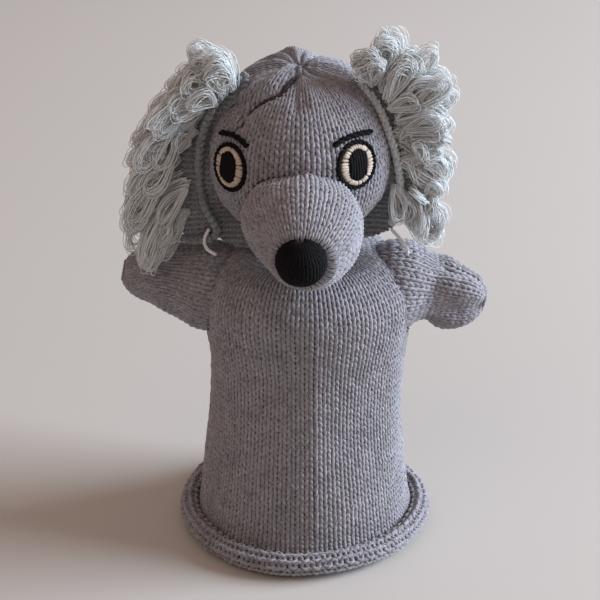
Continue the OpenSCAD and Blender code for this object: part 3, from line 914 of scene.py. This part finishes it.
for s in SIDES:
    side = SIDES[s]

    def flap_surface(u, v, s=s):
        x = 16 + u * EAR_WALE
        z = -40 + v * EAR_COURSE
        y = 1.6 * np.sin(x / 7.0 + z / 13.0) + 0.8 * np.sin(z / 5.0)
        return ear_xyz(s, x, y, z)

    rows = knit(flap_surface, EAR_WALES, EAR_COURSES, first=-1, seed=71 + side, around=False, wale=3.5,
                yarn=0.95, depth=-0.7 * side)
    rows = cut(rows, lambda p, s=s: inside_flap(s, p))
    piece(s + "_ear_knit", rows, EAR, "ear_knit", body=s + "_ear")
    back = shell(lambda u, v, s=s: flap_surface(u, v, s) + np.array([0, -0.25 * SIDES[s], 0]),
                 np.arange(0, EAR_WALES + 0.01, 0.34),
                 np.arange(-1, 32, 0.4), 0.5, closed_u=False)
    back = cut(back, lambda p, s=s: inside_flap(s, p))
    backing = piece(s + "_ear_backing", back, EAR, "ear_knit", s + "_ear_flap", body=s + "_ear")

    # The crocheted edge down the head side.
    if s == "right":
        line = [(23, 0.5, 33.8), (31.2, -2.4, 23.8), (36.8, -3.8, 10), (40.3, -4.2, -3),
                (41.2, -4.0, -16), (38, -3, -29)]
    else:
        line = [(22, 1.0, 36), (34, -2.9, 25), (40.5, -4.0, 10.0), (42, -4.2, -6),
                (40, -4.0, -20), (35, -3, -33),
                (44, -3, -36.5), (56, -2, -34)]
    line = curve([ear_xyz(s, *p) for p in line], 260)
    knots = np.sin(np.arange(260) * TAU / 7.5)
    line = line + 0.35 * knots[:, None] * np.array([1.0, -0.6, 0.2])
    outwards = np.broadcast_to([0.0, -1.0, 0.2], line.shape)
    edge = rope(line, outwards, 0.8 * (1 + 0.38 * knots), 0.85, 5.2, plies=3,
                seed=72)
    # The right edging, on the lit side, takes the paler wool as painted light; the left takes the darker
    # ear wool as painted shade.
    piece(s + "_ear_edging_rope", edge, LIT_EDGE if s == "right" else EAR, "ear_yarn",
          s + "_ear_edging", body=s + "_ear")

    # The fringe: skeins of uncut loops.
    rng = np.random.default_rng(80 + side)
    tips = np.array(TIPS[s])
    tips = np.stack([(tips[:, 0] - HEAD[0]) * side, tips[:, 1] - HEAD[2]], axis=-1)
    turns = np.radians(np.linspace(88, -22, LOOPS))
    edges = EAR_MID + np.stack([EAR_W[s] * np.cos(turns), EAR_HALF_H * np.sin(turns)], axis=-1)
    inners = np.array(FRINGE_FROM[s])
    for i in range(1, LOOPS + 1):
        lines = []
        for layer in range(SKEINS):
            inward = rng.uniform(0.0, 1.0) if layer > 2 else 0.0
            place = np.clip(i - 1 + rng.uniform(-0.5, 0.5), 0, LOOPS - 1)
            edge_at, inner, tip = (
                np.array([np.interp(place, np.arange(LOOPS), rows[:, k]) for k in (0, 1)])
                for rows in (edges, inners, tips))
            root = edge_at * (1 - inward) + inner * inward + rng.uniform(-3, 3, 2)
            root_y = rng.uniform(-7.0, 1.5)
            reach = tip + rng.uniform(-5, 5, 2) - (tip - root) * (0.45 * inward + rng.uniform(0, 0.22))
            tip_y = root_y + rng.uniform(-7, 4) - (6 if i == LOOPS else 0)
            start = ear_xyz(s, root[0], root_y, root[1])
            end = ear_xyz(s, reach[0], tip_y, reach[1])
            size = np.linalg.norm(end - start)
            d = (end - start) / size
            across = unit(np.cross(d, np.array([rng.uniform(-0.5, 0.5), -1.0, rng.uniform(-0.3, 0.3)])))
            depth_dir = np.cross(across, d)
            wide = rng.uniform(3.5, 7.0)
            bend = rng.uniform(-2.5, 2.5)
            for strand in range(STRANDS):
                f = np.linspace(0, 1, 22, endpoint=False)
                out = (1 - np.cos(TAU * f)) / 2
                w = wide * rng.uniform(0.75, 1.15)
                long = size * rng.uniform(0.86, 1.06)
                roll = rng.uniform(-0.35, 0.35)
                flat = math.cos(roll) * across + math.sin(roll) * depth_dir
                shift = rng.uniform(-1.1, 1.1, 3)
                begin = start + rng.uniform(-1.5, 1.5, 3)
                aside = w * np.sin(TAU * f) * (0.18 + 0.82 * out)
                p = begin + (long * out)[:, None] * d + aside[:, None] * flat
                p = p + (bend * out**2)[:, None] * across + (shift * 0.8) * out[:, None]
                p[:, 2] -= 3.2 * out**2
                lines.append(p)
        lines = np.stack(lines)
        normal = np.broadcast_to(np.array([0.1, -1.0, 0.15]), lines.shape)
        part = sweep(lines, normal, 0.18, 3, True, seed=90 + i)
        piece(f"{s}_ear_fringe_{i}", part, FRINGE, "ear_yarn", f"{s}_ear_loops_{i}", body=s + "_ear")

    tail = curve([ear_xyz(s, 38, -3, -31), ear_xyz(s, 41 + side, -5, -35),
                  ear_xyz(s, 42 + 3 * side, -6, -39),
                  ear_xyz(s, 40 + 5 * side, -6, -42)], 30)
    tail = rope(tail, np.broadcast_to([0.0, -1.0, 0.0], tail.shape), 0.45, 0.4, 3.0, seed=75)
    piece(s + "_ear_tail_yarn", tail, TAIL, "tail_yarn", s + "_ear_yarn_tail", body=s + "_ear")

# ---- floor, lights and camera ----


def backdrop():
    """A pale table top that curves up into a wall."""
    far, rise, half = 2.2, 1.6, 2.8
    path = [(-2.4, 0.0), (far - 0.5, 0.0)]
    path += [(far - 0.5 + 0.5 * math.sin(a), 0.5 - 0.5 * math.cos(a))
             for a in np.linspace(0.1, math.pi / 2, 16)]
    path += [(far, rise)]
    verts = [(x, y, z) for y, z in path for x in (-half, half)]
    faces = [(2 * i, 2 * i + 1, 2 * i + 3, 2 * i + 2) for i in range(len(path) - 1)]
    mesh = bpy.data.meshes.new("floor")
    mesh.from_pydata(verts, [], faces)
    mesh.polygons.foreach_set("use_smooth", [True] * len(faces))
    obj = bpy.data.objects.new("floor", mesh)
    mesh.materials.append(plain_material("pale_floor", (0.500, 0.468, 0.427), (0.512, 0.478, 0.437),
                                         2.0, bump=0.0))
    bpy.context.scene.collection.objects.link(obj)


def area_light(name, place, target, size, power, colour):
    data = bpy.data.lights.new(name, "AREA")
    data.shape, data.size, data.size_y = "RECTANGLE", size[0], size[1]
    data.energy, data.color = power, colour
    obj = bpy.data.objects.new(name, data)
    obj.location = place
    look = Vector(target) - Vector(place)
    obj.rotation_euler = look.to_track_quat("-Z", "Y").to_euler()
    bpy.context.scene.collection.objects.link(obj)


backdrop()
area_light("window", (2.2, 0.06, 0.98), (0, 0, 0.12), (1.5, 1.2), 142, (0.74, 0.85, 1.0))
area_light("room", (-0.9, -1.3, 1.6), (0, 0, 0.1), (1.6, 1.6), 5, (1.0, 0.82, 0.74))
world = bpy.data.worlds.new("soft")
world.use_nodes = True
world.node_tree.nodes["Background"].inputs["Color"].default_value = (1.0, 0.77, 0.69, 1)
world.node_tree.nodes["Background"].inputs["Strength"].default_value = 0.42
bpy.context.scene.world = world
bpy.context.scene.view_settings.view_transform = "Standard"

CAMERA_UP = math.radians(25.5)
CAMERA_FAR = 0.85
CAMERA_AT = (-0.002, 0.0, 0.108)
camera = bpy.data.objects.new("camera", bpy.data.cameras.new("camera"))
camera.data.sensor_width = 36
camera.data.lens = 117.9
camera.data.clip_start = 0.01
camera.location = (CAMERA_AT[0], -CAMERA_FAR * math.cos(CAMERA_UP),
                   CAMERA_AT[2] + CAMERA_FAR * math.sin(CAMERA_UP))
camera.rotation_euler = (math.pi / 2 - CAMERA_UP, 0, 0)
bpy.context.scene.collection.objects.link(camera)
bpy.context.scene.camera = camera
